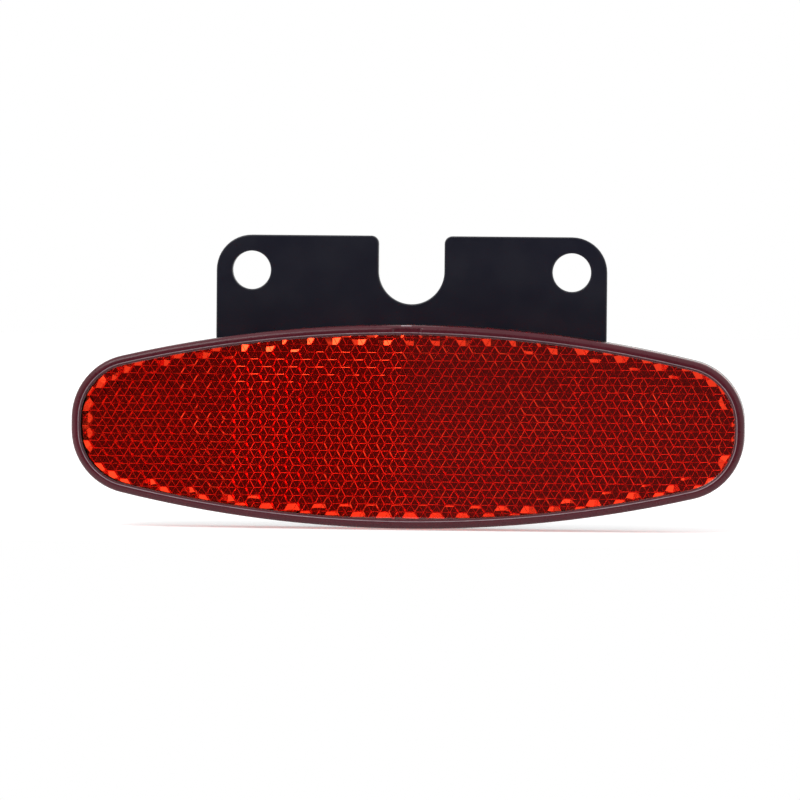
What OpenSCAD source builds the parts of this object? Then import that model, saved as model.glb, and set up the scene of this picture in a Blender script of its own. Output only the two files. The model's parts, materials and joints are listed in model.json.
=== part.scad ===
// Rear reflector on a flat carrier bracket
//
// A red prism lens is welded onto a black housing. Two captive studs in the
// housing clamp it to a flat bracket plate, which bolts to a rack or a fender
// through two holes in one row.
//
// X runs along the hole row, Z is up and the lens faces -Y. The origin is
// midway between the two mounting holes, on the back face of the bracket.

/* [Lens] */
// overall width of the reflector
lens_w = 104.4; // [70:1:140]
// overall height of the reflector at its middle
lens_h = 31.5; // [26:0.5:44]
// radius of the long top and bottom sides
side_r = 195; // [150:5:400]
// radius of the four corners
corner_r = 10; // [6:0.5:11]
// radius of the slightly domed ends
end_r = 40; // [25:1:120]
// thickness of the clear front, without the prisms
front_t = 2; // [1.5:0.1:3]
// wall thickness of the skirt around the prisms
skirt_t = 1.5; // [1:0.1:2.2]

/* [Lens rim] */
// how far the rim stands in front of the clear face
rim_rise = 0.4; // [0.2:0.1:1]
// width of the bevel between the rim and the clear face
rim_bevel = 0.33; // [0.2:0.01:0.6]
// radius of the rim's outer front edge
rim_round = 0.9; // [0.4:0.1:1.2]
// width of the moulding gate's slot through the rim, at the top
gate_w = 4.3; // [2:0.1:8]

/* [Prisms] */
// width of one hexagonal prism, across its flats
prism_w = 2.35; // [2:0.05:4]
// distance from the middle of the lens to the left field border
field_left = -26.9; // [-40:0.1:-15]
// place of the border between the two inner fields
field_mid = -1.4; // [-10:0.1:10]
// distance from the middle of the lens to the right field border
field_right = 26.2; // [15:0.1:40]
// sideways offset of the prism grid
grid_x = 0.54; // [0:0.01:2]
// upward offset of the prism grid
grid_z = -0.35; // [-1:0.01:1]
// air left between the prism tips and the stud bosses
tip_gap = 0.38; // [0.2:0.01:6]

/* [Housing] */
// thickness of the housing's floor
floor_t = 1.8; // [1.6:0.1:3]
// height of the locating rib inside the lens skirt
rib_h = 1.2; // [0.6:0.1:2]
// thickness of the locating rib
rib_t = 1; // [0.8:0.1:1.6]
// chamfer around the housing's back
back_chamfer = 0.5; // [0.2:0.1:0.8]
// radius of the two bosses that hold the stud heads
boss_r = 6.2; // [5.8:0.1:8]

/* [Bracket] */
// distance between the two mounting holes
hole_spacing = 50; // [40:1:80]
// diameter of the mounting holes
hole_d = 6; // [5:0.1:7]
// width of flat steel around each mounting hole, from the hole's middle
edge = 5.5; // [5:0.1:9]
// thickness of the plate
plate_t = 1.5; // [1:0.1:3]
// height of the hole row above the middle of the lens
drop = 24; // [23:0.5:40]
// how far the plate reaches below the studs
tail = 7; // [6:0.5:9]
// width of the round-bottomed notch in the top edge
notch_w = 10.3; // [6:0.1:14]
// radius of the notch's two top corners
notch_lip_r = 1.2; // [0.6:0.1:2]

/* [Fastenings] */
// distance between the two studs
stud_spacing = 40; // [30:1:50]
// nominal thread diameter of the studs
stud_d = 5; // [4:1:5]
// width of the stud heads and nuts, across their flats
hex_af = 8; // [7:0.5:8]
// thickness of the stud heads
head_t = 1.6; // [1.2:0.1:1.6]
// diameter of the washers
washer_d = 10; // [9:0.5:12]
// thickness of the washers
washer_t = 1; // [0.8:0.1:1.6]
// height of the nuts
nut_h = 5; // [4:0.1:6]
// stud length left standing behind the nuts
stud_end = 1.5; // [0.5:0.1:4]

/* [Hidden] */
eps = 0.01;
thread_gap = 0.05;
stud_gap = 0.1;
plate_gap = 0.25;
pocket_gap = 0.05;
rib_gap = 0.15;
pocket_depth = 0.1;
boss_lip = 0.2;
collar_inset = 0.4;
arc_steps = 6;
// one prism is a cube corner: its three square faces meet in the tip
prism_side = prism_w / sqrt(3);
prism_step = prism_w / sqrt(6);
// planes, counted forwards from the bracket's back face
floor_back = plate_t;
floor_front = floor_back + floor_t;
pocket_floor = floor_front - pocket_depth;
boss_front = pocket_floor + head_t + boss_lip;
face_back = boss_front + tip_gap + 2 * prism_step;
face_front = face_back + front_t;
rim_front = face_front + rim_rise;
// outline arcs: side, corner and end circles touch one another
side_c = [0, lens_h / 2 - side_r];
end_c = [lens_w / 2 - end_r, 0];
span = norm(end_c - side_c);
// the largest corner that fits between the two long sides at the ends
corner_fit = (pow(side_r, 2) - pow(side_r - lens_h / 2, 2) - pow(lens_w / 2, 2)) / (2 * side_r - lens_w);
corner = min(corner_r, 0.95 * corner_fit);
reach_side = side_r - corner;
reach_end = end_r - corner;
along = (pow(reach_side, 2) - pow(reach_end, 2) + pow(span, 2)) / (2 * span);
across = sqrt(max(0, pow(reach_side, 2) - pow(along, 2)));
dir = (end_c - side_c) / span;
corner_c = side_c + dir * along + [dir[1], -dir[0]] * across;
side_turn = atan2(corner_c[0] - side_c[0], corner_c[1] - side_c[1]);
end_turn = atan2(corner_c[1] - end_c[1], corner_c[0] - end_c[0]);

// Points of an arc, from angle a to angle b
function arc(c, r, a, b, n) = [for (k = [0:n]) c + r * [cos(a + (b - a) * k / n), sin(a + (b - a) * k / n)]];

// One quarter of the reflector's outline, from its end to its top, moved inwards by inset
function quarter(inset) = concat(
    arc(end_c, end_r - inset, 0, end_turn, 2),
    [for (k = [1:arc_steps]) corner_c + (corner - inset) * [
        cos(end_turn + (90 - side_turn - end_turn) * k / arc_steps),
        sin(end_turn + (90 - side_turn - end_turn) * k / arc_steps)]],
    [for (k = [1:arc_steps]) side_c + (side_r - inset) * [
        cos(90 - side_turn + side_turn * k / arc_steps),
        sin(90 - side_turn + side_turn * k / arc_steps)]]);

function mirrored(q, sx, sz) = [for (p = q) [sx * p[0], sz * p[1]]];
function reversed(q) = [for (k = [len(q) - 1:-1:0]) q[k]];
function without_ends(q) = [for (k = [1:len(q) - 2]) q[k]];

// The whole outline, counter-clockwise, each point once
function outline(inset) = let (q = quarter(inset)) concat(
    q,
    without_ends(reversed(mirrored(q, -1, 1))),
    mirrored(q, -1, -1),
    without_ends(reversed(mirrored(q, 1, -1))));

// A solid through outline loops; each level is [inset, distance in front of the bracket's back]
module loft(levels) {
    loops = [for (l = levels) [for (p = outline(l[0])) [p[0], -l[1], p[1] - drop]]];
    n = len(loops[0]);
    m = len(loops);
    points = [for (loop = loops) for (p = loop) p];
    sides = [for (k = [0:m - 2]) for (i = [0:n - 1])
        [k * n + i, (k + 1) * n + i, (k + 1) * n + (i + 1) % n, k * n + (i + 1) % n]];
    back = [for (i = [0:n - 1]) i];
    front = [for (i = [n - 1:-1:0]) (m - 1) * n + i];
    polyhedron(points, concat(sides, [back, front]));
}

// A round bar along Y, between two distances in front of the bracket's back face
module bar(r, from, to) {
    translate([0, -from, 0])
        rotate([90, 0, 0])
            cylinder(r = r, h = to - from, $fn = 64);
}

// A six-sided bar along Y
module hex_bar(af, from, to) {
    translate([0, -from, 0])
        rotate([90, 30, 0])
            cylinder(d = af / cos(30), h = to - from, $fn = 6);
}

module at_studs() {
    for (side = [-1, 1])
        translate([side * stud_spacing / 2, 0, -drop])
            children();
}

// The prisms stand on a triangular grid, counted in columns and rows. Every
// third point of a row is the tip of a prism, and its six neighbours are the
// corners of the prism's hexagon: three of them low, three in the pits.
// Each field turns its prisms by half a turn against the field beside it.
grid_cols = ceil(lens_w / 2 / prism_side) + 3;
grid_rows = ceil(lens_h / prism_w) + 3;
function grid_kind(i, j) = ((i - floor(j / 2) - j) % 3 + 3) % 3;
function grid_place(i, j) = [grid_x + (i + (j % 2 == 0 ? 0 : 0.5)) * prism_side, grid_z + j * prism_w / 2];
function grid_index(p) = (p[1] + grid_rows) * (2 * grid_cols + 1) + p[0] + grid_cols;
function field_of(i, j) = let (x = grid_place(i, j)[0])
    x < field_left ? 0 : x < field_mid ? 1 : x < field_right ? 2 : 3;

// Neighbour of a grid point, at 60 degrees times k from the row
function beside(p, k) = let (i = p[0], j = p[1], odd = j % 2 == 0 ? 0 : 1, turn = k % 6)
    turn == 0 ? [i + 1, j] :
    turn == 1 ? [i + odd, j + 1] :
    turn == 2 ? [i + odd - 1, j + 1] :
    turn == 3 ? [i - 1, j] :
    turn == 4 ? [i + odd - 1, j - 1] : [i + odd, j - 1];

function in_field(p, field) = abs(p[0]) < grid_cols && abs(p[1]) < grid_rows && field_of(p[0], p[1]) == field;

// One field of cube-corner prisms, on a flat base inside the clear front
module prism_field(field) {
    turned = field % 2;
    base = face_back + front_t / 2;
    ways = [[2, 1, 0], [2, 0, 1]][turned];
    top = [for (j = [-grid_rows:grid_rows]) for (i = [-grid_cols:grid_cols])
        let (at = grid_place(i, j))
        [at[0], -(face_back - ways[grid_kind(i, j)] * prism_step), at[1] - drop]];
    bottom = [for (p = top) [p[0], -base, p[2]]];
    n = len(top);
    tips = [for (j = [1 - grid_rows:grid_rows - 1]) for (i = [1 - grid_cols:grid_cols - 1])
        if (grid_kind(i, j) == 0 && in_field([i, j], field)) [i, j]];
    faces = [for (tip = tips)
        let (ring = [for (k = [0:5]) grid_index(beside(tip, k))])
        each concat(
            [for (k = [0, 2, 4]) [
                grid_index(tip), ring[k + turned], ring[(k + turned + 1) % 6], ring[(k + turned + 2) % 6]]],
            [[for (k = [5:-1:0]) ring[k] + n]],
            [for (k = [0:5]) if (!in_field(beside(beside(tip, k), k + 1), field))
                [ring[(k + 1) % 6], ring[k], ring[k] + n, ring[(k + 1) % 6] + n]])];
    polyhedron(concat(top, bottom), faces);
}

// Red lens: clear front, raised rim, skirt and prisms
module lens() {
    color([0.62, 0.02, 0.03])
        difference() {
            loft([
                [0, floor_front],
                [0, rim_front - rim_round],
                [rim_round * 0.13, rim_front - rim_round * 0.5],
                [rim_round * 0.5, rim_front - rim_round * 0.13],
                [rim_round, rim_front]]);
            // the clear face, set back inside the rim
            loft([
                [skirt_t + eps, face_front],
                [skirt_t + eps - rim_bevel, rim_front + eps]]);
            // the space behind the front, with the prisms left standing
            difference() {
                loft([[skirt_t, floor_front - 1], [skirt_t, face_back]]);
                for (field = [0:3]) prism_field(field);
            }
            // the slot the moulding gate left in the rim
            translate([-gate_w / 2, -rim_front - 1, lens_h / 2 - drop - skirt_t - 0.5])
                cube([gate_w, 1 + rim_rise * 0.8, 0.5 + skirt_t - rim_round * 0.5]);
        }
}

// Black housing: floor, locating rib and the two stud bosses
module housing() {
    rib_in = skirt_t + rib_gap;
    color([0.035, 0.035, 0.04])
        difference() {
            union() {
                loft([
                    [back_chamfer, floor_back],
                    [0, floor_back + back_chamfer],
                    [0, floor_front]]);
                difference() {
                    loft([[rib_in, floor_front - eps], [rib_in, floor_front + rib_h]]);
                    loft([[rib_in + rib_t, floor_front - 1], [rib_in + rib_t, floor_front + rib_h + 1]]);
                }
                at_studs()
                    bar(boss_r, floor_front - eps, boss_front);
            }
            at_studs() {
                bar(stud_d / 2 + stud_gap, floor_back - 1, boss_front);
                hex_bar(hex_af + 2 * pocket_gap, pocket_floor, boss_front + 1);
            }
        }
}

// Outline of the bracket plate in X and Z, with its notch
module plate_outline() {
    half = hole_spacing / 2 + edge;
    bottom = -drop - tail;
    notch_r = notch_w / 2;
    lip = [notch_r + notch_lip_r, edge - notch_lip_r];
    polygon(concat(
        arc([-half + edge, bottom + edge], edge, 180, 270, 12),
        arc([half - edge, bottom + edge], edge, 270, 360, 12),
        arc([half - edge, 0], edge, 0, 90, 12),
        arc(lip, notch_lip_r, 90, 180, 6),
        arc([0, 0], notch_r, 360, 180, 32),
        arc([-lip[0], lip[1]], notch_lip_r, 0, 90, 6),
        arc([-half + edge, 0], edge, 90, 180, 12)));
}

// Flat steel bracket
module bracket() {
    color([0.09, 0.09, 0.12])
        rotate([90, 0, 0])
            linear_extrude(height = plate_t)
                difference() {
                    plate_outline();
                    for (side = [-1, 1]) {
                        translate([side * hole_spacing / 2, 0])
                            circle(d = hole_d, $fn = 64);
                        translate([side * stud_spacing / 2, -drop])
                            circle(r = stud_d / 2 + plate_gap, $fn = 64);
                    }
                }
}

// Two captive studs with six-sided heads
module studs() {
    color([0.7, 0.7, 0.72])
        at_studs() {
            hex_bar(hex_af, pocket_floor, pocket_floor + head_t);
            bar(stud_d / 2, -(washer_t + nut_h + stud_end), pocket_floor + eps);
        }
}

// Flat washers behind the bracket
module washers() {
    color([0.74, 0.74, 0.76])
        at_studs()
            difference() {
                bar(washer_d / 2, -washer_t, 0);
                bar(stud_d / 2 + stud_gap, -washer_t - 1, 1);
            }
}

// Self-locking nuts: a six-sided body with a round collar at its back
module nuts() {
    collar_h = nut_h * 0.28;
    color([0.7, 0.7, 0.72])
        at_studs()
            difference() {
                union() {
                    hex_bar(hex_af, -(washer_t + nut_h - collar_h), -washer_t);
                    bar(hex_af / 2 - collar_inset, -(washer_t + nut_h), -washer_t - 1);
                }
                bar(stud_d / 2 + thread_gap, -(washer_t + nut_h + 1), 1);
            }
}

lens();
housing();
bracket();
studs();
washers();
nuts();
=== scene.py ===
"""Rear reflector on a flat carrier bracket: meshes, finishes, lights and camera."""
import json
import math

import bmesh
import bpy
from mathutils import Matrix, Vector

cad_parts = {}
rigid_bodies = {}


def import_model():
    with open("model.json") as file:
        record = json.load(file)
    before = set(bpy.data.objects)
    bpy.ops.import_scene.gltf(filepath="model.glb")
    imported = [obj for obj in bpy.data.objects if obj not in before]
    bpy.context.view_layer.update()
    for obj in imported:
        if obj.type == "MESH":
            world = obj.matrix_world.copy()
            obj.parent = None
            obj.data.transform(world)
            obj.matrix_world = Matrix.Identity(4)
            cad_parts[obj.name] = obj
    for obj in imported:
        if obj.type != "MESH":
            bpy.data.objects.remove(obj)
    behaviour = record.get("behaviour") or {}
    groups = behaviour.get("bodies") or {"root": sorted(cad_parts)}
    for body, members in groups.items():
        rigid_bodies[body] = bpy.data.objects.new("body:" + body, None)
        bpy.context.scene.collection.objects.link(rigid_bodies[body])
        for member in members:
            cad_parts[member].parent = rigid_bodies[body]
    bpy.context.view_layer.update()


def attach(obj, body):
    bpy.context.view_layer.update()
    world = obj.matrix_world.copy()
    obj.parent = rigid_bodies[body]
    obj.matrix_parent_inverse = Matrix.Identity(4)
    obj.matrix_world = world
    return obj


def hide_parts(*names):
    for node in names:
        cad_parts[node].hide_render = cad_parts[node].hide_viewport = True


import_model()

# Sizes of the real object, in millimetres; meshes are turned to metres when they are finished.
# Distances called "forward" are counted from the back face of the bracket towards the viewer.
MM = 0.001
ROUND_STEPS = 48

# Lens: its middle lies DROP below the row of mounting holes.
DROP = 24.0
LENS_W = 104.4
LENS_H = 31.5
SIDE_R = 195.0
CORNER_R = 10.0
END_R = 40.0
SKIRT_T = 1.5
FRONT_T = 2.0
RIM_RISE = 0.4
RIM_BEVEL = 0.33
RIM_ROUND = 0.9
GATE_W = 4.3
GATE_FADE = 0.4

# Prisms: width across flats, where one field ends and the next begins, place of the grid, width of
# the rounding on every ridge, and how near two points on the cut border may lie.
PRISM_W = 2.35
FIELD_BORDERS = (-26.9, -1.4, 26.2)
GRID_SHIFT = (0.54, -0.35)
PRISM_EDGE = 0.055
CUT_MERGE = 0.015
TIP_GAP = 0.38

# Housing
FLOOR_T = 1.8
RIB_H = 1.2
RIB_T = 1.0
RIB_GAP = 0.15
BACK_CHAMFER = 0.5
BOSS_R = 6.2
BOSS_LIP = 0.2
POCKET_DEPTH = 0.1
POCKET_GAP = 0.1
BORE_GAP = 0.1

# Bracket
HOLE_SPACING = 50.0
HOLE_D = 6.0
EDGE = 5.5
PLATE_T = 1.5
PLATE_ROUND = 0.22
TAIL = 7.0
NOTCH_W = 10.3
NOTCH_LIP_R = 1.2
STUD_HOLE_GAP = 0.25

# Fastenings
STUD_SPACING = 40.0
STUD_R = 2.5
HEX_AF = 8.0
HEAD_T = 1.6
WASHER_R = 5.0
WASHER_T = 1.0
NUT_H = 5.0
STUD_END = 1.5
THREAD_PITCH = 0.8
THREAD_DEPTH = 0.42
THREAD_GAP = 0.05
END_CHAMFER = 0.55
COLLAR_INSET = 0.4

# Distances that follow from the sizes above.
PRISM_SIDE = PRISM_W / math.sqrt(3)
PRISM_STEP = PRISM_W / math.sqrt(6)
FLOOR_FRONT = PLATE_T + FLOOR_T
POCKET_FLOOR = FLOOR_FRONT - POCKET_DEPTH
BOSS_FRONT = POCKET_FLOOR + HEAD_T + BOSS_LIP
FACE_BACK = BOSS_FRONT + TIP_GAP + 2 * PRISM_STEP
FACE_FRONT = FACE_BACK + FRONT_T
RIM_FRONT = FACE_FRONT + RIM_RISE
HEX_CORNER = HEX_AF / 2 / math.cos(math.pi / 6)

# Outline of the reflector: two long sides, two domed ends and four corners, all arcs that touch.
SIDE_C = Vector((0, LENS_H / 2 - SIDE_R))
END_C = Vector((LENS_W / 2 - END_R, 0))


def corner_centre():
    """Centre of the corner arc that touches both the side arc and the end arc."""
    span = (END_C - SIDE_C).length
    way = (END_C - SIDE_C) / span
    reach_side = SIDE_R - CORNER_R
    reach_end = END_R - CORNER_R
    along = (reach_side ** 2 - reach_end ** 2 + span ** 2) / (2 * span)
    across = math.sqrt(max(0.0, reach_side ** 2 - along ** 2))
    return SIDE_C + way * along + Vector((way.y, -way.x)) * across


CORNER_C = corner_centre()
SIDE_TURN = math.atan2(CORNER_C.x, CORNER_C.y - SIDE_C.y)
END_TURN = math.atan2(CORNER_C.y, CORNER_C.x - END_C.x)

# Extra points of the long sides, round the slot of the moulding gate.
SLOT_POINTS = (2.9, 2.45, 2.3, 2.15, 2.0, 1.85, 1.4, 0.95, 0.7, 0.35)


def on_circle(centre, radius, turn):
    """The point of a circle at an angle from its right end."""
    return Vector((centre[0] + radius * math.cos(turn), centre[1] + radius * math.sin(turn)))


def arc(centre, radius, start, stop, steps):
    """Points of an arc after its first point."""
    return [on_circle(centre, radius, start + (stop - start) * k / steps) for k in range(1, steps + 1)]


def side_arc(inset):
    """The right half of the long top side, from its corner to its middle."""
    turns = [SIDE_TURN * (1 - k / 16) for k in range(1, 17)]
    turns = [t for t in turns if t * SIDE_R > SLOT_POINTS[0] + 0.5]
    turns += [p / SIDE_R for p in SLOT_POINTS] + [0.0]
    return [on_circle(SIDE_C, SIDE_R - inset, math.pi / 2 - t) for t in turns]


def outline(inset):
    """The reflector's outline moved inwards by inset, counter-clockwise from the right end."""
    quarter = [Vector((END_C.x + END_R - inset, 0))]
    quarter += arc(END_C, END_R - inset, 0, END_TURN, 5)
    quarter += arc(CORNER_C, CORNER_R - inset, END_TURN, math.pi / 2 - SIDE_TURN, 14)
    quarter += side_arc(inset)
    upper = quarter + [Vector((-p.x, p.y)) for p in reversed(quarter[:-1])]
    lower = [Vector((p.x, -p.y)) for p in reversed(upper[1:-1])]
    return upper + lower


# Mesh helpers

def add_loop(bm, points, forward, drop=DROP):
    """A ring of points at one distance forward; forward may also be one number for each point."""
    if not isinstance(forward, (list, tuple)):
        forward = [forward] * len(points)
    return [bm.verts.new((p[0], -f, p[1] - drop)) for p, f in zip(points, forward)]


def bridge(bm, back, front, material=0):
    """Smooth quads between two loops with the same number of points."""
    n = len(back)
    for i in range(n):
        face = bm.faces.new((back[i], front[i], front[(i + 1) % n], back[(i + 1) % n]))
        face.material_index = material
        face.smooth = True


def loop_edges(bm, loop):
    """The edges round a loop, made where they are missing."""
    n = len(loop)
    return [bm.edges.get((loop[i], loop[(i + 1) % n])) or bm.edges.new((loop[i], loop[(i + 1) % n]))
            for i in range(n)]


def fill_between(bm, loops):
    """A flat face with holes: the first loop is its outline, the others are the holes."""
    edges = [edge for loop in loops for edge in loop_edges(bm, loop)]
    bmesh.ops.triangle_fill(bm, use_beauty=True, use_dissolve=False, edges=edges)


def angle_of(vert):
    """The angle at which a vertex of the lens lies round the lens's middle."""
    return math.atan2(vert.co.z + DROP, vert.co.x)


def walk(ring):
    """The vertices of an open border in order, counter-clockwise from the smallest angle."""
    path = [min(ring, key=angle_of)]
    left = set(ring) - set(path)
    while left:
        steps = [e.other_vert(path[-1]) for e in path[-1].link_edges if len(e.link_faces) == 1]
        path.append(min((v for v in steps if v in left), key=angle_of))
        left.remove(path[-1])
    return path


def zip_rings(bm, ring_a, ring_b, material):
    """Triangles between two flat rings that lie one inside the other, with any numbers of points."""
    a = walk(ring_a)
    b = walk(ring_b)
    i = j = 0
    while i < len(a) or j < len(b):
        next_a = angle_of(a[i + 1]) if i + 1 < len(a) else angle_of(a[0]) + 2 * math.pi
        next_b = angle_of(b[j + 1]) if j + 1 < len(b) else angle_of(b[0]) + 2 * math.pi
        here = (a[i % len(a)], b[j % len(b)])
        if j >= len(b) or (i < len(a) and next_a < next_b):
            face = bm.faces.new((*here, a[(i + 1) % len(a)]))
            i += 1
        else:
            face = bm.faces.new((*here, b[(j + 1) % len(b)]))
            j += 1
        face.material_index = material


def circle(radius, centre=(0.0, 0.0)):
    """A round ring of ROUND_STEPS points."""
    return [on_circle(centre, radius, 2 * math.pi * k / ROUND_STEPS) for k in range(ROUND_STEPS)]


def hexagon(across_flats, most, centre=(0.0, 0.0)):
    """A six-sided ring with as many points as a circle, its corners cut off at a largest radius."""
    points = []
    for k in range(ROUND_STEPS):
        turn = 2 * math.pi * k / ROUND_STEPS
        off = (turn + math.pi / 6) % (math.pi / 3) - math.pi / 6
        points.append(on_circle(centre, min(across_flats / 2 / math.cos(off), most), turn))
    return points


def rounded(radius, steps=4):
    """Steps of a quarter round, from a face to the side: pairs of (how far in, how far from the face)."""
    turns = [math.pi / 2 * k / steps for k in range(steps + 1)]
    return [(radius * (1 - math.sin(t)), radius * (1 - math.cos(t))) for t in turns]


def finish_mesh(bm, name, materials, sharp=32.0):
    """Turn a bmesh in millimetres into an object in metres, with its sharp edges marked."""
    bmesh.ops.scale(bm, vec=(MM, MM, MM), verts=bm.verts)
    bmesh.ops.recalc_face_normals(bm, faces=bm.faces)
    for edge in bm.edges:
        if len(edge.link_faces) == 2 and edge.calc_face_angle(0.0) > math.radians(sharp):
            edge.smooth = False
    mesh = bpy.data.meshes.new(name)
    bm.to_mesh(mesh)
    bm.free()
    for material in materials:
        mesh.materials.append(material)
    obj = bpy.data.objects.new(name, mesh)
    bpy.context.scene.collection.objects.link(obj)
    return obj


def declare(piece, node):
    """Put a piece on the body, and in the place of a node of the part."""
    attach(piece, "root")
    if node:
        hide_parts(node)


# Geometry Nodes helpers

class Tree:
    """A Geometry Nodes tree with named inputs and short calls for its nodes."""

    def __init__(self, name, takes_mesh=False):
        self.tree = bpy.data.node_groups.new(name, "GeometryNodeTree")
        self.tree.interface.new_socket("Geometry", in_out="OUTPUT", socket_type="NodeSocketGeometry")
        if takes_mesh:
            self.tree.interface.new_socket("Geometry", in_out="INPUT", socket_type="NodeSocketGeometry")
        self.ids = {}
        self.entry = self.tree.nodes.new("NodeGroupInput")
        self.exit = self.tree.nodes.new("NodeGroupOutput")

    def value(self, name, kind="NodeSocketFloat"):
        socket = self.tree.interface.new_socket(name, in_out="INPUT", socket_type=kind)
        self.ids[name] = socket.identifier
        return self.entry.outputs[name]

    def node(self, kind, inputs=None, **settings):
        node = self.tree.nodes.new(kind)
        for key, val in settings.items():
            setattr(node, key, val)
        for key, val in (inputs or {}).items():
            self.feed(node.inputs[key], val)
        return node

    def feed(self, socket, val):
        if isinstance(val, bpy.types.NodeSocket):
            self.tree.links.new(val, socket)
        else:
            socket.default_value = val

    def math(self, operation, *values):
        return self.node("ShaderNodeMath", dict(enumerate(values)), operation=operation).outputs[0]

    def equal(self, a, b):
        return self.math("COMPARE", a, b, 0.1)

    def point(self, x, y, z):
        return self.node("ShaderNodeCombineXYZ", {0: x, 1: y, 2: z}).outputs[0]

    def store(self, geometry, name, value):
        """Keep a number on every point under a name."""
        node = self.node("GeometryNodeStoreNamedAttribute", {
            "Geometry": geometry, "Name": name, "Value": value}, data_type="FLOAT")
        return node.outputs[0]

    def stored(self, name):
        return self.node("GeometryNodeInputNamedAttribute", {"Name": name}, data_type="FLOAT").outputs[0]

    def grid(self, columns, rows):
        """A mesh grid whose points lie one apart, and the column and row of each point from the middle."""
        mesh = self.node("GeometryNodeMeshGrid", {
            "Size X": self.math("SUBTRACT", columns, 1.0), "Size Y": self.math("SUBTRACT", rows, 1.0),
            "Vertices X": columns, "Vertices Y": rows}).outputs["Mesh"]
        spot = self.node("ShaderNodeSeparateXYZ", {0: self.node("GeometryNodeInputPosition").outputs[0]})
        return mesh, self.math("ROUND", spot.outputs[0]), self.math("ROUND", spot.outputs[1])

    def finish(self, geometry, material):
        whole = self.node("GeometryNodeRealizeInstances", {"Geometry": geometry})
        paint = self.node("GeometryNodeSetMaterial", {"Geometry": whole.outputs[0], "Material": material})
        self.tree.links.new(paint.outputs[0], self.exit.inputs[0])

    def make(self, name, values, host=None):
        """Run the tree once and leave its result as a plain mesh object."""
        if host is None:
            host = bpy.data.objects.new(name, bpy.data.meshes.new(name))
            bpy.context.scene.collection.objects.link(host)
        modifier = host.modifiers.new("nodes", "NODES")
        modifier.node_group = self.tree
        for key, val in values.items():
            modifier[self.ids[key]] = val
        evaluated = host.evaluated_get(bpy.context.evaluated_depsgraph_get())
        mesh = bpy.data.meshes.new_from_object(evaluated)
        host.modifiers.remove(modifier)
        host.data = mesh
        mesh.name = name
        return host


def prism_tree(material):
    """One field of cube-corner prisms: a triangular grid whose points take one of three heights."""
    t = Tree("prism field")
    columns = t.value("Columns", "NodeSocketInt")
    rows = t.value("Rows", "NodeSocketInt")
    side = t.value("Prism side")
    step = t.value("Prism step")
    shift_x = t.value("Shift X")
    shift_z = t.value("Shift Z")
    low = t.value("Left border")
    high = t.value("Right border")
    turned = t.value("Turned")
    mesh, col, row = t.grid(columns, rows)
    odd = t.math("FLOORED_MODULO", row, 2.0)
    along = t.math("ADD", col, t.math("MULTIPLY", odd, 0.5))
    x = t.math("ADD", t.math("MULTIPLY", along, side), shift_x)
    row_gap = t.math("MULTIPLY", side, math.sqrt(3) / 2)
    z = t.math("ADD", t.math("MULTIPLY", row, row_gap), shift_z)
    half_row = t.math("FLOOR", t.math("MULTIPLY", row, 0.5))
    kind = t.math("FLOORED_MODULO", t.math("SUBTRACT", t.math("SUBTRACT", col, half_row), row), 3.0)
    tip = t.equal(kind, 0.0)
    upright = t.math("MULTIPLY", t.equal(kind, 1.0), t.math("SUBTRACT", 1.0, turned))
    reverse = t.math("MULTIPLY", t.equal(kind, 2.0), turned)
    level = t.math("ADD", t.math("MULTIPLY", tip, 2.0), t.math("ADD", upright, reverse))
    levelled = t.store(mesh, "level", level)
    # each triangle has one tip, so a third of the tip's place is the mean over its corners
    marked = t.store(levelled, "tip x", t.math("MULTIPLY", tip, x))
    spread = t.node("GeometryNodeSetPosition", {"Geometry": marked, "Position": t.point(x, 0.0, z)})
    cut = t.node("GeometryNodeTriangulate", {"Mesh": spread.outputs[0]}, quad_method="SHORTEST_DIAGONAL")
    own_x = t.math("MULTIPLY", t.stored("tip x"), 3.0)
    outside = t.math("MAXIMUM", t.math("LESS_THAN", own_x, low), t.math("GREATER_THAN", own_x, high))
    kept = t.node("GeometryNodeDeleteGeometry", {
        "Geometry": cut.outputs[0], "Selection": outside}, domain="FACE")
    depth = t.math("MULTIPLY", t.stored("level"), step)
    raised = t.node("GeometryNodeSetPosition", {
        "Geometry": kept.outputs[0], "Offset": t.point(0.0, depth, 0.0)})
    t.finish(raised.outputs[0], material)
    return t


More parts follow.
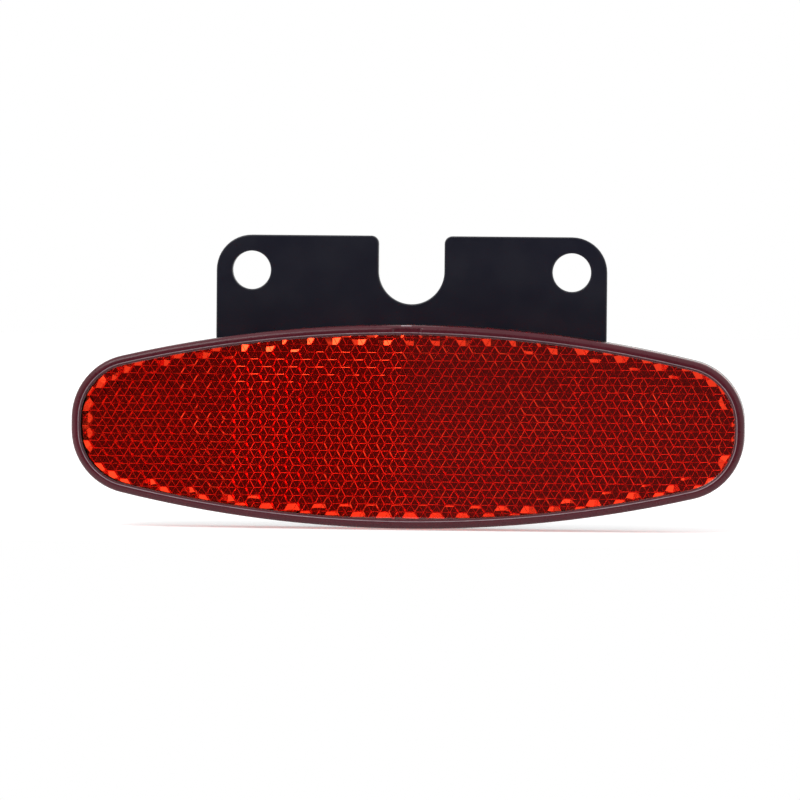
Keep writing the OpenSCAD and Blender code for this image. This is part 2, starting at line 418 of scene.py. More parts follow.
def thread_tree(material):
    """A threaded rod along Y: a grid rolled up, its radius following the turns of the thread."""
    t = Tree("thread")
    columns = t.value("Columns", "NodeSocketInt")
    rows = t.value("Rows", "NodeSocketInt")
    length = t.value("Length")
    radius = t.value("Radius")
    pitch = t.value("Pitch")
    depth = t.value("Depth")
    chamfer = t.value("End chamfer")
    mesh, col, row = t.grid(columns, rows)
    around = t.math("DIVIDE", col, t.math("SUBTRACT", columns, 1.0))
    share = t.math("ADD", t.math("DIVIDE", row, t.math("SUBTRACT", rows, 1.0)), 0.5)
    y = t.math("MULTIPLY", share, length)
    phase = t.math("FRACT", t.math("SUBTRACT", t.math("DIVIDE", y, pitch), around))
    crest = t.math("ABSOLUTE", t.math("SUBTRACT", t.math("MULTIPLY", phase, 2.0), 1.0))
    # flat crests and roots with slopes between them
    slope = t.math("MULTIPLY", t.math("SUBTRACT", crest, 0.12), 1.4)
    groove = t.math("MINIMUM", t.math("MAXIMUM", slope, 0.0), 1.0)
    threaded = t.math("SUBTRACT", radius, t.math("MULTIPLY", groove, depth))
    # the end of the rod is turned down to a cone
    left = t.math("SUBTRACT", length, y)
    cone = t.math("SUBTRACT", t.math("ADD", radius, left), chamfer)
    r = t.math("MINIMUM", threaded, cone)
    turn = t.math("MULTIPLY", around, 2 * math.pi)
    x = t.math("MULTIPLY", r, t.math("COSINE", turn))
    z = t.math("MULTIPLY", r, t.math("SINE", turn))
    rolled = t.node("GeometryNodeSetPosition", {"Geometry": mesh, "Position": t.point(x, y, z)})
    closed = t.node("GeometryNodeMergeByDistance", {"Geometry": rolled.outputs[0], "Distance": 0.0005})
    t.finish(closed.outputs[0], material)
    return t


def pair_tree(material):
    """Copies of a piece at both studs."""
    t = Tree("pair at the studs", takes_mesh=True)
    spacing = t.value("Spacing")
    height = t.value("Height")
    line = t.node("GeometryNodeMeshLine", {
        "Count": 2, "Start Location": t.point(t.math("MULTIPLY", spacing, -0.5), 0.0, height),
        "Offset": t.point(spacing, 0.0, 0.0)})
    placed = t.node("GeometryNodeInstanceOnPoints", {
        "Points": line.outputs[0], "Instance": t.entry.outputs["Geometry"]})
    t.finish(placed.outputs[0], material)
    return t


def at_studs(piece, material):
    """Turn a piece made round the origin into a pair at the two studs."""
    return pair_tree(material).make(piece.name, {"Spacing": STUD_SPACING * MM, "Height": -DROP * MM}, piece)


# Lens, with these places for its materials; GLINT is a painted highlight on the rim's inner edge and on the gate
# stub

FACET, RIDGE, FACE, RIM, GLINT, WALL, SIDE = range(7)


def clip_to(bm, loop):
    """Cut away all that lies outside a convex outline in X and Z."""
    faces = set(bm.faces)
    n = len(loop)
    for k in range(n):
        a = loop[k]
        b = loop[(k + 1) % n]
        out = Vector((b.y - a.y, 0, a.x - b.x)).normalized()
        base = Vector((a.x, 0, a.y))
        reach = [f for f in faces if any((v.co - base).dot(out) > 1e-6 for v in f.verts)]
        if not reach:
            continue
        geom = set(reach)
        for f in reach:
            geom.update(f.verts)
            geom.update(f.edges)
        cut = bmesh.ops.bisect_plane(bm, geom=list(geom), dist=1e-5, plane_co=base, plane_no=out,
                                     clear_outer=True)
        faces.difference_update(reach)
        faces.update(f for f in cut["geom"] if isinstance(f, bmesh.types.BMFace) and f.is_valid)
        faces = {f for f in faces if f.is_valid}


def sew_fields(bm):
    """Close the step walls between prisms of two fields that are turned against each other."""
    pairs = {}
    for edge in bm.edges:
        if len(edge.link_faces) == 1:
            key = tuple(sorted((round(v.co.x, 3), round(v.co.z, 3)) for v in edge.verts))
            pairs.setdefault(key, []).append(edge)
    merged = {}
    walls = []
    for edges in pairs.values():
        if len(edges) != 2:
            continue
        ends = []
        for edge in edges:
            ends.append(sorted(edge.verts, key=lambda v: (round(v.co.x, 3), round(v.co.z, 3))))
        middles = [bmesh.utils.edge_split(edge, edge.verts[0], 0.5)[1] for edge in edges]
        merged[middles[1]] = middles[0]
        walls += [(ends[0][k], middles[0], ends[1][k]) for k in (0, 1)]
    bmesh.ops.weld_verts(bm, targetmap=merged)
    for wall in walls:
        bm.faces.new(wall)


def prism_sheet(material):
    """The prisms as a sheet with rounded ridges and valleys, cut to the inside of the skirt."""
    nx = math.ceil(LENS_W / 2 / PRISM_SIDE) + 3
    nz = math.ceil(LENS_H / PRISM_W) + 3
    borders = (-LENS_W, *FIELD_BORDERS, LENS_W)
    tree = prism_tree(material)
    bm = bmesh.new()
    for k in range(4):
        field = tree.make("prism_field", {
            "Columns": 2 * nx + 1, "Rows": 2 * nz + 1, "Prism side": PRISM_SIDE, "Prism step": PRISM_STEP,
            "Shift X": GRID_SHIFT[0], "Shift Z": GRID_SHIFT[1], "Turned": float(k % 2),
            "Left border": borders[k], "Right border": borders[k + 1]})
        bm.from_mesh(field.data)
        bpy.data.objects.remove(field)
    sew_fields(bm)
    bmesh.ops.recalc_face_normals(bm, faces=bm.faces)
    bmesh.ops.dissolve_limit(bm, angle_limit=0.01, verts=bm.verts, edges=bm.edges)
    inner = [e for e in bm.edges if len(e.link_faces) == 2]
    made = bmesh.ops.bevel(bm, geom=inner, offset=PRISM_EDGE, offset_type="OFFSET", segments=3, profile=0.5,
                           affect="EDGES", clamp_overlap=True, material=RIDGE)
    for face in made["faces"]:
        face.smooth = True
    clip_to(bm, outline(SKIRT_T))
    return bm


def slot_share(point):
    """How much of the gate slot's depth a point of the rim has: 1 inside the slot, 0 beside it."""
    if point.y < 0:
        return 0.0
    share = min(1.0, max(0.0, (GATE_W / 2 + GATE_FADE / 2 - abs(point.x)) / GATE_FADE))
    return share * share * (3 - 2 * share)


def rim_levels():
    """Rings of the rim from the skirt's back to the clear face: inset, forward, slotted, material."""
    levels = [(0, FLOOR_FRONT, False, SIDE), (0, FLOOR_FRONT + 0.06, False, SIDE),
              (0, RIM_FRONT - RIM_ROUND - 0.05, False, SIDE), (0, RIM_FRONT - RIM_ROUND, False, RIM)]
    for k in range(1, 9):
        turn = math.pi / 2 * k / 8
        inset = RIM_ROUND * (1 - math.cos(turn))
        levels.append((inset, RIM_FRONT - RIM_ROUND * (1 - math.sin(turn)), inset > RIM_ROUND / 2, RIM))
    bevel_start = SKIRT_T - RIM_BEVEL
    levels.append((bevel_start - 0.09, RIM_FRONT, True, RIM))
    # the next two rings take the GLINT finish: a painted highlight along the rim's inner edge
    levels.append((bevel_start - 0.03, RIM_FRONT - 0.01, True, GLINT))
    levels.append((bevel_start + 0.03, RIM_FRONT - 0.05, True, GLINT))
    levels.append((SKIRT_T - 0.05, FACE_FRONT + 0.05, True, RIM))
    levels.append((SKIRT_T + 0.03, FACE_FRONT, False, FACE))
    return levels


def lens_mesh(materials):
    """The whole lens as one closed shell."""
    bm = prism_sheet(materials[FACET])
    bmesh.ops.translate(bm, verts=bm.verts, vec=(0, -FACE_BACK, -DROP))
    rim = {v for e in bm.edges if len(e.link_faces) == 1 for v in e.verts}
    bmesh.ops.remove_doubles(bm, verts=list(rim), dist=CUT_MERGE)
    border = [e for e in bm.edges if len(e.link_faces) == 1]
    wall = bmesh.ops.extrude_edge_only(bm, edges=border)["geom"]
    inner = [v for v in wall if isinstance(v, bmesh.types.BMVert)]
    for v in inner:
        v.co.y = -FLOOR_FRONT
    for face in wall:
        if isinstance(face, bmesh.types.BMFace):
            face.material_index = WALL
    slot_floor = RIM_FRONT - RIM_RISE * 0.8
    loops = []
    paints = []
    for inset, forward, slotted, paint in rim_levels():
        points = outline(inset)
        depths = [forward] * len(points)
        if slotted:
            depths = [forward + (min(forward, slot_floor) - forward) * slot_share(p) for p in points]
        loops.append(add_loop(bm, points, depths))
        paints.append(paint)
    for k in range(len(loops) - 1):
        bridge(bm, loops[k], loops[k + 1], paints[k + 1])
    face = bm.faces.new(loops[-1])
    face.material_index = FACE
    zip_rings(bm, inner, loops[0], WALL)
    # a painted highlight on the rim's outer edge, where the stub of the gate is left: the rim faces there take
    # the GLINT finish
    stub_glint_x, stub_glint_half, stub_glint_depth = -0.2, 0.75, 0.12
    for face in bm.faces:
        middle = face.calc_center_median()
        on_stub_glint = abs(middle.x - stub_glint_x) < stub_glint_half and middle.z > LENS_H / 2 - DROP - stub_glint_depth
        if face.material_index == RIM and on_stub_glint:
            face.material_index = GLINT
    return finish_mesh(bm, "red_lens", materials)


# Housing

def housing_mesh(materials):
    """Black housing: floor, locating rib and two bosses with six-sided pockets, pale on the lens side."""
    bm = bmesh.new()
    rib_out = SKIRT_T + RIB_GAP
    rib_in = rib_out + RIB_T
    rib_front = FLOOR_FRONT + RIB_H
    levels = [(BACK_CHAMFER + 0.15, PLATE_T), (BACK_CHAMFER, PLATE_T + 0.02),
              (0.08, PLATE_T + BACK_CHAMFER - 0.08), (0, PLATE_T + BACK_CHAMFER + 0.1),
              (0, FLOOR_FRONT - 0.12), (0.04, FLOOR_FRONT - 0.03),
              (0.15, FLOOR_FRONT), (rib_out - 0.15, FLOOR_FRONT), (rib_out, FLOOR_FRONT + 0.1),
              (rib_out, rib_front - 0.15), (rib_out + 0.12, rib_front), (rib_in - 0.12, rib_front),
              (rib_in, rib_front - 0.15), (rib_in, FLOOR_FRONT)]
    loops = [add_loop(bm, outline(inset), forward) for inset, forward in levels]
    for back, front in zip(loops, loops[1:]):
        bridge(bm, back, front)
    front_holes = []
    back_holes = []
    for side in (-1, 1):
        centre = (side * STUD_SPACING / 2, 0)
        bore = STUD_R + BORE_GAP
        pocket = HEX_AF + POCKET_GAP
        rings = [(circle(BOSS_R, centre), FLOOR_FRONT), (circle(BOSS_R, centre), BOSS_FRONT - 0.2),
                 (circle(BOSS_R - 0.2, centre), BOSS_FRONT),
                 (hexagon(pocket + 0.3, HEX_AF, centre), BOSS_FRONT),
                 (hexagon(pocket, HEX_AF, centre), BOSS_FRONT - 0.15),
                 (hexagon(pocket, HEX_AF, centre), POCKET_FLOOR),
                 (circle(bore, centre), POCKET_FLOOR), (circle(bore, centre), PLATE_T)]
        made = [add_loop(bm, points, forward) for points, forward in rings]
        for back, front in zip(made, made[1:]):
            bridge(bm, back, front)
        front_holes.append(made[0])
        back_holes.append(made[-1])
    fill_between(bm, [loops[-1], *front_holes])
    fill_between(bm, [loops[0], *back_holes])
    for face in bm.faces:
        face.material_index = int(-face.calc_center_median().y > FLOOR_FRONT - 0.01)
    return finish_mesh(bm, "black_housing", materials)


# Bracket

def plate_outline(inset):
    """The bracket's outline moved inwards by inset, with its round-bottomed notch."""
    half = HOLE_SPACING / 2
    low = -DROP - TAIL + EDGE
    notch_r = NOTCH_W / 2
    lip = (notch_r + NOTCH_LIP_R, EDGE - NOTCH_LIP_R)
    r = EDGE - inset
    lip_r = NOTCH_LIP_R - inset
    right = math.pi / 2
    points = [on_circle((-half, low), r, math.pi)] + arc((-half, low), r, math.pi, 3 * right, 12)
    points += [on_circle((half, low), r, 3 * right)] + arc((half, low), r, 3 * right, 4 * right, 12)
    points += [on_circle((half, 0), r, 0)] + arc((half, 0), r, 0, right, 12)
    points += [on_circle(lip, lip_r, right)] + arc(lip, lip_r, right, 2 * right, 8)
    points += [on_circle((0, 0), notch_r + inset, 0)] + arc((0, 0), notch_r + inset, 0, -math.pi, 36)
    left_lip = (-lip[0], lip[1])
    points += [on_circle(left_lip, lip_r, 0)] + arc(left_lip, lip_r, 0, right, 8)
    points += [on_circle((-half, 0), r, right)] + arc((-half, 0), r, right, 2 * right, 12)
    return points


def bracket_mesh(material):
    """Flat steel plate with softly rounded edges, two mounting holes and two stud holes."""
    bm = bmesh.new()
    rings = rounded(PLATE_ROUND)
    rings += [(inset, PLATE_T - away) for inset, away in reversed(rings)]
    outer = [add_loop(bm, plate_outline(inset), forward, 0.0) for inset, forward in rings]
    for a, b in zip(outer, outer[1:]):
        bridge(bm, a, b)
    ends = [(outer[0], outer[-1])]
    holes = [((side * HOLE_SPACING / 2, 0), HOLE_D / 2) for side in (-1, 1)]
    holes += [((side * STUD_SPACING / 2, -DROP), STUD_R + STUD_HOLE_GAP) for side in (-1, 1)]
    for centre, radius in holes:
        made = [add_loop(bm, circle(radius + inset, centre), forward, 0.0) for inset, forward in rings]
        for a, b in zip(made, made[1:]):
            bridge(bm, a, b)
        ends.append((made[0], made[-1]))
    fill_between(bm, [end[0] for end in ends])
    fill_between(bm, [end[1] for end in ends])
    return finish_mesh(bm, "steel_bracket", [material])


# Fastenings, each made round the origin and then copied to both studs

def turned_ring(bm, profile):
    """A closed ring from rings of points: pairs of (points, forward)."""
    loops = [add_loop(bm, points, forward, 0.0) for points, forward in profile]
    for k in range(len(loops)):
        bridge(bm, loops[k], loops[(k + 1) % len(loops)])


def stud_mesh(material):
    """Stud with a six-sided head and a threaded shank."""
    length = POCKET_FLOOR + WASHER_T + NUT_H + STUD_END
    shank = thread_tree(material).make("stud", {
        "Columns": 49, "Rows": 141, "Length": length, "Radius": STUD_R, "Pitch": THREAD_PITCH,
        "Depth": THREAD_DEPTH, "End chamfer": END_CHAMFER})
    bm = bmesh.new()
    bm.from_mesh(shank.data)
    bpy.data.objects.remove(shank)
    bmesh.ops.translate(bm, verts=bm.verts, vec=(0, -POCKET_FLOOR, 0))
    border = [e for e in bm.edges if len(e.link_faces) == 1]
    bmesh.ops.holes_fill(bm, edges=border, sides=0)
    for face in bm.faces:
        face.smooth = True
    top = POCKET_FLOOR + HEAD_T
    head = [(hexagon(HEX_AF - 0.5, HEX_AF / 2 - 0.2), POCKET_FLOOR),
            (hexagon(HEX_AF, HEX_AF / 2 + 0.05), POCKET_FLOOR + 0.1),
            (hexagon(HEX_AF, HEX_CORNER), POCKET_FLOOR + 0.3), (hexagon(HEX_AF, HEX_CORNER), top - 0.35),
            (hexagon(HEX_AF, HEX_AF / 2 + 0.05), top - 0.1), (hexagon(HEX_AF - 0.5, HEX_AF / 2 - 0.2), top)]
    loops = [add_loop(bm, points, forward, 0.0) for points, forward in head]
    for a, b in zip(loops, loops[1:]):
        bridge(bm, a, b)
    bm.faces.new(loops[0])
    bm.faces.new(loops[-1])
    return finish_mesh(bm, "zinc_studs", [material])


def washer_mesh(material):
    """Flat washer with its punched edges rounded."""
    bm = bmesh.new()
    bore = STUD_R + BORE_GAP
    profile = [(circle(bore), -0.12), (circle(bore + 0.12), 0.0), (circle(WASHER_R - 0.16), 0.0),
               (circle(WASHER_R - 0.04), -0.05), (circle(WASHER_R), -0.16),
               (circle(WASHER_R), -WASHER_T + 0.3),
               (circle(WASHER_R - 0.07), -WASHER_T + 0.09), (circle(WASHER_R - 0.28), -WASHER_T),
               (circle(bore + 0.2), -WASHER_T), (circle(bore), -WASHER_T + 0.2)]
    turned_ring(bm, profile)
    return finish_mesh(bm, "zinc_washers", [material])


def nut_mesh(material):
    """Self-locking nut: a six-sided body with chamfered corners and a rolled collar behind."""
    bm = bmesh.new()
    bore = STUD_R + THREAD_GAP
    front = -WASHER_T
    shoulder = -(WASHER_T + NUT_H * 0.72)
    back = -(WASHER_T + NUT_H)
    collar = HEX_AF / 2 - COLLAR_INSET
    flat_ring = hexagon(HEX_AF, HEX_AF / 2 - 0.02)
    cut_ring = hexagon(HEX_AF, HEX_CORNER - 0.12)
    full_ring = hexagon(HEX_AF, HEX_CORNER)
    profile = [(circle(bore), front - 0.35), (circle(bore + 0.35), front),
               (hexagon(HEX_AF - 0.7, 3.6), front), (flat_ring, front - 0.1), (cut_ring, front - 0.34),
               (full_ring, front - 0.5), (full_ring, shoulder + 0.55),
               (cut_ring, shoulder + 0.36), (flat_ring, shoulder + 0.08),
               (hexagon(HEX_AF - 0.2, 3.86), shoulder), (circle(collar + 0.12), shoulder - 0.02),
               (circle(collar), shoulder - 0.14), (circle(collar), back + 0.5),
               (circle(collar - 0.08), back + 0.22), (circle(collar - 0.3), back + 0.05),
               (circle(collar - 0.55), back), (circle(collar - 0.72), back + 0.12),
               (circle(collar - 0.72), back + 0.62), (circle(bore + 0.1), back + 0.62),
               (circle(bore), back + 0.75)]
    turned_ring(bm, profile)
    return finish_mesh(bm, "zinc_nuts", [material])


def insert_mesh(material):
    """Nylon ring that locks the nut, seated under its rolled collar."""
    bm = bmesh.new()
    bore = STUD_R + THREAD_GAP
    back = -(WASHER_T + NUT_H)
    reach = HEX_AF / 2 - COLLAR_INSET - 0.74
    profile = [(circle(bore), back + 0.6), (circle(bore), back + 0.3), (circle(bore + 0.1), back + 0.18),
               (circle(reach - 0.05), back + 0.18), (circle(reach), back + 0.24), (circle(reach), back + 0.6)]
    turned_ring(bm, profile)
    return finish_mesh(bm, "nut_inserts", [material])


# Materials

class Finish:
    """A principled material with short calls for procedural detail on Object coordinates, in metres."""

    def __init__(self, name, colour, roughness, **constants):
        self.material = bpy.data.materials.new(name)
        self.material.use_nodes = True
        self.nodes = self.material.node_tree.nodes
        self.links = self.material.node_tree.links
        self.shader = self.nodes["Principled BSDF"]
        self.place = self.nodes.new("ShaderNodeTexCoord").outputs["Object"]
        self.shader.inputs["Base Color"].default_value = (*colour, 1)
        self.shader.inputs["Roughness"].default_value = roughness
        for key, val in constants.items():
            self.shader.inputs[key.replace("_", " ")].default_value = val

    def node(self, kind, inputs=None, **settings):
        node = self.nodes.new(kind)
        for key, val in settings.items():
            setattr(node, key, val)
        for key, val in (inputs or {}).items():
            if isinstance(val, bpy.types.NodeSocket):
                self.links.new(val, node.inputs[key])
            else:
                node.inputs[key].default_value = val
        return node

    def stretched(self, turn, stretch):
        """The object's coordinates, turned and squeezed."""
        return self.node("ShaderNodeMapping", {
            "Vector": self.place, "Rotation": turn, "Scale": stretch}).outputs[0]

    def noise(self, size_mm, detail=2.0, place=None):
        """A cloudy pattern from 0 to 1 with clouds of about this size."""
        return self.node("ShaderNodeTexNoise", {
            "Vector": place or self.place, "Scale": 1000.0 / size_mm, "Detail": detail}).outputs["Fac"]

    def scaled(self, value, low_in, high_in, low, high):
        """A value moved from one range to another and kept inside it."""
        return self.node("ShaderNodeMapRange", {
            "Value": value, "From Min": low_in, "From Max": high_in,
            "To Min": low, "To Max": high}).outputs[0]

    def specks(self, cell_mm, radius_mm, share):
        """1 on small round specks, which only a share of the cells have."""
        cells = self.node("ShaderNodeTexVoronoi", {"Vector": self.place, "Scale": 1000.0 / cell_mm})
        edge = radius_mm / cell_mm
        spot = self.scaled(cells.outputs["Distance"], edge * 0.6, edge, 1.0, 0.0)
        pick = self.node("ShaderNodeSeparateColor", {0: cells.outputs["Color"]}).outputs[0]
        chosen = self.math("LESS_THAN", pick, share)
        return self.math("MULTIPLY", spot, chosen)

    def math(self, operation, a, b):
        return self.node("ShaderNodeMath", {0: a, 1: b}, operation=operation).outputs[0]

    def blend(self, share, first, second):
        """A colour between two colours."""
        mix = self.node("ShaderNodeMix", data_type="RGBA")
        self.links.new(share, mix.inputs["Factor"])
        sockets = [s for s in mix.inputs if s.type == "RGBA"]
        for socket, colour in zip(sockets, (first, second)):
            if isinstance(colour, bpy.types.NodeSocket):
                self.links.new(colour, socket)
            else:
                socket.default_value = (*colour, 1)
        return [s for s in mix.outputs if s.type == "RGBA"][0]

    def bump(self, height, strength, depth_mm):
        """Let a height pattern bend the light; depth_mm is the pattern's real depth."""
        bump = self.node("ShaderNodeBump", {
            "Height": height, "Strength": strength, "Distance": depth_mm * MM})
        self.links.new(bump.outputs[0], self.shader.inputs["Normal"])

    def wire(self, name, value):
        self.links.new(value, self.shader.inputs[name])


# The red of the prisms, and lighter, oranger ones for the walls inside and outside: partly because the plastic is
# thin there, partly painted light, an orange that stands in for the strong light seen through the walls in the
# cut prisms at the border.
RED = (0.86, 0.010, 0.004)
THIN_RED_AND_PAINTED_LIGHT = (0.94, 0.34, 0.06)
SIDE_RED = (0.92, 0.15, 0.03)


def clear_red(name, colour, roughness):
    """Clear red acrylic, with the faint unevenness of a polished mould."""
    f = Finish(name, colour, roughness, Transmission_Weight=1.0, IOR=1.49)
    f.wire("Roughness", f.scaled(f.noise(6.0), 0.3, 0.7, roughness, roughness + 0.012))
    return f.material


def rounded_ridges():
    """The narrow rounded ridges and valleys between the prisms, where the mould's pins meet."""
    f = Finish("rounded prism ridges", (0.82, 0.12, 0.03), 0.06, Transmission_Weight=1.0, IOR=1.49)
    # the ridges take a lighter, oranger red than the facets of the same acrylic: painted light, so that the lines
    # between the prisms come out brighter
    f.wire("Base Color", f.blend(f.noise(1.5), (0.78, 0.08, 0.016), (0.86, 0.16, 0.04)))
    f.wire("Roughness", f.scaled(f.noise(0.4), 0.3, 0.7, 0.02, 0.08))
    return f.material


def worn_face():
    """The clear front: polished, with dust and faint rubbed scratches."""
    f = Finish("red acrylic front", RED, 0.0, Transmission_Weight=1.0, IOR=1.49)
    fine = f.noise(0.5, 3.0, f.stretched((0, 0.9, 0), (1.0, 1.0, 0.03)))
    patch = f.scaled(f.noise(14.0), 0.52, 0.62, 0.0, 1.0)
    scratch = f.math("MULTIPLY", f.scaled(fine, 0.66, 0.72, 0.0, 1.0), patch)
    dust = f.specks(2.6, 0.06, 0.16)
    f.wire("Roughness", f.math("MAXIMUM", f.math("MULTIPLY", scratch, 0.16), f.math("MULTIPLY", dust, 0.6)))
    f.wire("Base Color", f.blend(dust, RED, (0.75, 0.6, 0.6)))
    f.wire("Transmission Weight", f.math("SUBTRACT", 1.0, f.math("MULTIPLY", dust, 0.7)))
    f.bump(fine, 0.04, 0.02)
    return f.material


def dark_rim():
    """The rim over the weld: the same red, so deep that it looks maroon, with a slightly dull skin."""
    f = Finish("maroon rim", (0.085, 0.012, 0.020), 0.28, IOR=1.49, Specular_IOR_Level=0.3)
    cloud = f.noise(7.0, 3.0)
    f.wire("Base Color", f.blend(cloud, (0.058, 0.006, 0.011), (0.098, 0.013, 0.023)))
    f.wire("Roughness", f.scaled(f.noise(1.2), 0.3, 0.7, 0.24, 0.34))
    f.bump(f.noise(0.8, 3.0), 0.10, 0.03)
    return f.material


def painted_highlight_edge():
    """The rim's sharp inner edge, where the plastic is thin, and the gate stub: a painted highlight, pale pink,
    that stands in for the light they catch.
    """
    f = Finish("rim edge painted highlight", (0.42, 0.30, 0.33), 0.3, IOR=1.49)
    f.wire("Base Color", f.blend(f.noise(2.0, 3.0), (0.12, 0.06, 0.07), (0.42, 0.33, 0.36)))
    return f.material


def black_moulding():
    """Black plastic with a fine sparked texture."""
    f = Finish("black plastic", (0.012, 0.012, 0.014), 0.45)
    grain = f.noise(0.25, 2.0)
    f.wire("Base Color", f.blend(f.noise(9.0, 3.0), (0.010, 0.010, 0.012), (0.018, 0.018, 0.021)))
    f.wire("Roughness", f.scaled(grain, 0.3, 0.7, 0.40, 0.56))
    f.bump(grain, 0.25, 0.02)
    return f.material


def pale_backing():
    """The side behind the prisms, painted pale: its light is what the ridges between the prisms show."""
    f = Finish("pale backing", (0.85, 0.85, 0.85), 0.5)
    f.wire("Base Color", f.blend(f.noise(5.0, 3.0), (0.82, 0.82, 0.82), (0.88, 0.88, 0.88)))
    f.bump(f.noise(0.4), 0.15, 0.02)
    return f.material


def black_coating():
    """Smooth satin coating on steel: a faint orange-peel surface with a few dust specks."""
    f = Finish("black coating", (0.008, 0.008, 0.016), 0.36, Specular_IOR_Level=0.42)
    peel = f.noise(0.9, 2.0)
    dust = f.specks(3.1, 0.07, 0.14)
    base = f.blend(f.noise(16.0, 2.0), (0.006, 0.006, 0.013), (0.009, 0.009, 0.019))
    f.wire("Base Color", f.blend(dust, base, (0.22, 0.22, 0.24)))
    f.wire("Roughness", f.scaled(f.noise(5.0, 3.0), 0.3, 0.7, 0.33, 0.43))
    f.bump(peel, 0.08, 0.02)
    return f.material


def zinc_plating():
    """Bright zinc: slightly cloudy, with fine turning marks."""
    f = Finish("zinc plating", (0.62, 0.63, 0.66), 0.28, Metallic=1.0)
    f.wire("Base Color", f.blend(f.noise(1.8, 3.0), (0.52, 0.53, 0.56), (0.70, 0.71, 0.73)))
    f.wire("Roughness", f.scaled(f.noise(0.6, 3.0), 0.3, 0.7, 0.20, 0.40))
    f.bump(f.noise(0.3, 2.0, f.stretched((0, 0, 0), (1.0, 8.0, 1.0))), 0.12, 0.01)
    return f.material


def nylon():
    """Black nylon of the locking rings."""
    f = Finish("black nylon", (0.02, 0.02, 0.022), 0.4)
    f.wire("Roughness", f.scaled(f.noise(0.5), 0.3, 0.7, 0.34, 0.5))
    f.bump(f.noise(0.4), 0.1, 0.01)
    return f.material


lens_finishes = [clear_red("red acrylic prisms", RED, 0.0), rounded_ridges(), worn_face(), dark_rim(),
                 painted_highlight_edge(), clear_red("red acrylic wall", THIN_RED_AND_PAINTED_LIGHT, 0.03),
                 clear_red("red acrylic side", SIDE_RED, 0.22)]
declare(lens_mesh(lens_finishes), "lens")
declare(housing_mesh([black_moulding(), pale_backing()]), "housing")
declare(bracket_mesh(black_coating()), "bracket")
ZINC = zinc_plating()
NYLON = nylon()
declare(at_studs(stud_mesh(ZINC), ZINC), "studs")
declare(at_studs(washer_mesh(ZINC), ZINC), "washers")
declare(at_studs(nut_mesh(ZINC), ZINC), "nuts")
declare(at_studs(insert_mesh(NYLON), NYLON), None)


# Floor, lights, room and camera

FLOOR_Z = -(DROP + LENS_H / 2) * MM - 0.0002
FLOOR_WIDE = 1.2
FLOOR_NEAR = -0.045
FLOOR_FAR = 1.2
# Makes up for what the lamps leave out, so that the bare floor is white as it is seen.
FLOOR_GLOW = 0.35
FLOOR_GLOW_IN_GLASS = 0.8


def floor():
    """A pale floor that is white to the camera where nothing shades it."""
    mesh = bpy.data.meshes.new("floor")
    corners = [(-FLOOR_WIDE, FLOOR_NEAR), (FLOOR_WIDE, FLOOR_NEAR),
               (FLOOR_WIDE, FLOOR_FAR), (-FLOOR_WIDE, FLOOR_FAR)]
    mesh.from_pydata([(x, y, FLOOR_Z) for x, y in corners], [], [(0, 1, 2, 3)])
    obj = bpy.data.objects.new("floor", mesh)
    bpy.context.scene.collection.objects.link(obj)
    f = Finish("pale floor", (0.9, 0.9, 0.9), 0.9)
    f.wire("Base Color", f.blend(f.noise(60.0), (0.89, 0.89, 0.89), (0.91, 0.91, 0.91)))
    ray = f.node("ShaderNodeLightPath").outputs
    seen = f.math("MAXIMUM", ray["Is Camera Ray"], ray["Is Glossy Ray"])
    f.shader.inputs["Emission Color"].default_value = (1, 1, 1, 1)
    f.wire("Emission Strength", f.math("ADD", f.math("MULTIPLY", seen, FLOOR_GLOW),
                                       f.math("MULTIPLY", ray["Is Transmission Ray"], FLOOR_GLOW_IN_GLASS)))
    mesh.materials.append(f.material)


def area_light(name, place, target, size, power):
    """A rectangular lamp that looks at a target."""
    data = bpy.data.lights.new(name, "AREA")
    data.shape = "RECTANGLE"
    data.size = size[0]
    data.size_y = size[1]
    data.energy = power
    obj = bpy.data.objects.new(name, data)
    obj.location = place
    obj.rotation_euler = (Vector(target) - Vector(place)).to_track_quat("-Z", "Y").to_euler()
    bpy.context.scene.collection.objects.link(obj)


CAMERA_YAW = math.radians(4.40)
CAMERA_PITCH = math.radians(2.03)
CAMERA_ROLL = math.radians(0.465)
CAMERA_DISTANCE = 0.886
CAMERA_TARGET = Vector((-0.00126, -0.006, -0.01992))
FOCAL_PIXELS = 5711.0
IMAGE_PIXELS = 800.0


def camera():
    """The photo's viewing angle: a long lens a little to the right and above."""
    data = bpy.data.cameras.new("camera")
    data.sensor_width = 36.0
    data.lens = 36.0 * FOCAL_PIXELS / IMAGE_PIXELS
    data.clip_start = 0.01
    obj = bpy.data.objects.new("camera", data)
    back = Vector((math.sin(CAMERA_YAW) * math.cos(CAMERA_PITCH),
                   -math.cos(CAMERA_YAW) * math.cos(CAMERA_PITCH), math.sin(CAMERA_PITCH)))
    right = Vector((math.cos(CAMERA_YAW), math.sin(CAMERA_YAW), 0))
    up = back.cross(right)
    turn = Matrix((right, up, back)).transposed().to_4x4()
    roll = Matrix.Rotation(CAMERA_ROLL, 4, "Z")
    obj.matrix_world = Matrix.Translation(CAMERA_TARGET + back * CAMERA_DISTANCE) @ turn @ roll
    bpy.context.scene.collection.objects.link(obj)
    bpy.context.scene.camera = obj


# Brightness of the room: pale cloth all round, brightest at the sides, and a dark opening at the camera,
# seen from the middle of the opening to its edge at these angles, and split a little left of the middle.
OPENING_INNER = math.radians(26)
OPENING_OUTER = math.radians(42)
OPENING_SPLIT = (-0.085, -0.068)
TENT_LOW = 0.55
TENT_SIDES = 0.9
OPENING_LEFT = 0.03
OPENING_RIGHT = 0.09


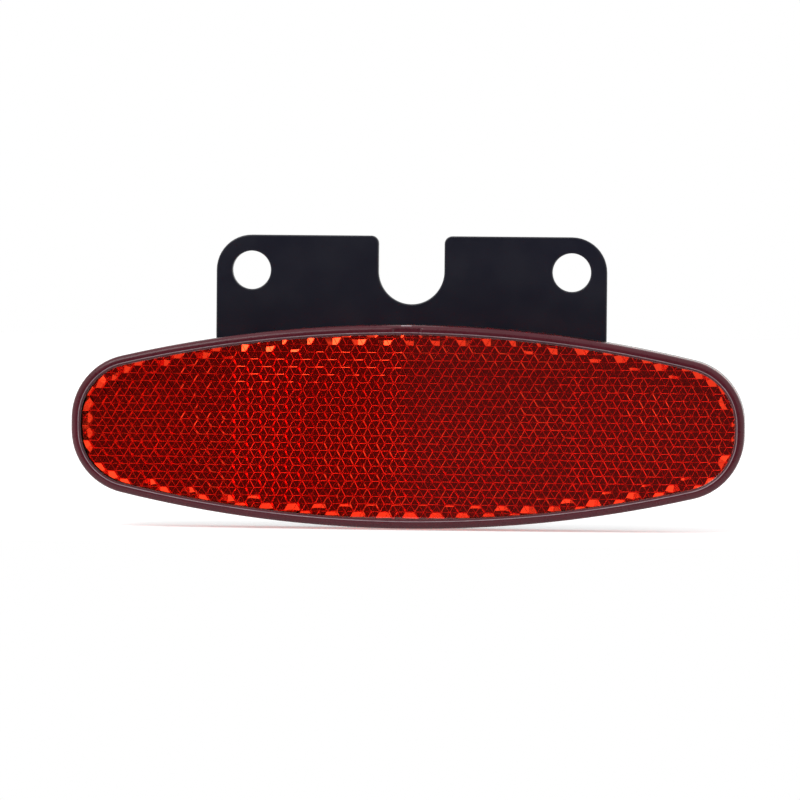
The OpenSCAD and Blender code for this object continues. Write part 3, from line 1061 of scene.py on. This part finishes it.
def world():
    """White to the camera; to the object a light tent with a dark opening, its cloth white in gloss and glass."""
    w = bpy.data.worlds.new("room")
    bpy.context.scene.world = w
    w.use_nodes = True
    nodes = w.node_tree.nodes
    links = w.node_tree.links
    nodes.clear()

    def node(kind, inputs=None, **settings):
        made = nodes.new(kind)
        for key, val in settings.items():
            setattr(made, key, val)
        for key, val in (inputs or {}).items():
            if isinstance(val, bpy.types.NodeSocket):
                links.new(val, made.inputs[key])
            else:
                made.inputs[key].default_value = val
        return made

    def smooth(value, low_in, high_in, low, high):
        return node("ShaderNodeMapRange", {
            "Value": value, "From Min": low_in, "From Max": high_in,
            "To Min": low, "To Max": high}, interpolation_type="SMOOTHSTEP").outputs[0]

    def calc(operation, a, b=0.0):
        return node("ShaderNodeMath", {0: a, 1: b}, operation=operation).outputs[0]

    way = node("ShaderNodeSeparateXYZ", {0: node("ShaderNodeTexCoord").outputs["Generated"]}).outputs
    tent = calc("ADD", TENT_LOW, calc("MULTIPLY", calc("ABSOLUTE", way[0]), TENT_SIDES))
    opening = smooth(way[0], *OPENING_SPLIT, OPENING_LEFT, OPENING_RIGHT)
    cloth = smooth(way[1], -math.cos(OPENING_INNER), -math.cos(OPENING_OUTER), 0.0, 1.0)
    ray = node("ShaderNodeLightPath").outputs
    bare = calc("MAXIMUM", ray["Is Glossy Ray"], ray["Is Transmission Ray"])
    tent = calc("ADD", tent, calc("MULTIPLY", bare, calc("SUBTRACT", 1.0, tent)))
    hole = calc("SUBTRACT", 1.0, cloth)
    level = calc("ADD", calc("MULTIPLY", tent, cloth), calc("MULTIPLY", opening, hole))
    room = node("ShaderNodeBackground", {0: (1, 1, 1, 1), 1: level})
    white = node("ShaderNodeBackground", {0: (1, 1, 1, 1), 1: 1.0})
    mix = node("ShaderNodeMixShader", {0: ray["Is Camera Ray"], 1: room.outputs[0], 2: white.outputs[0]})
    links.new(mix.outputs[0], node("ShaderNodeOutputWorld").inputs[0])


world()
camera()
floor()
area_light("soft key", (-0.35, -0.45, 0.6), (0, 0, -0.02), (0.5, 0.3), 3.0)

settings = bpy.context.scene
settings.view_settings.view_transform = "Standard"
settings.cycles.max_bounces = 24
settings.cycles.glossy_bounces = 16
settings.cycles.transmission_bounces = 16
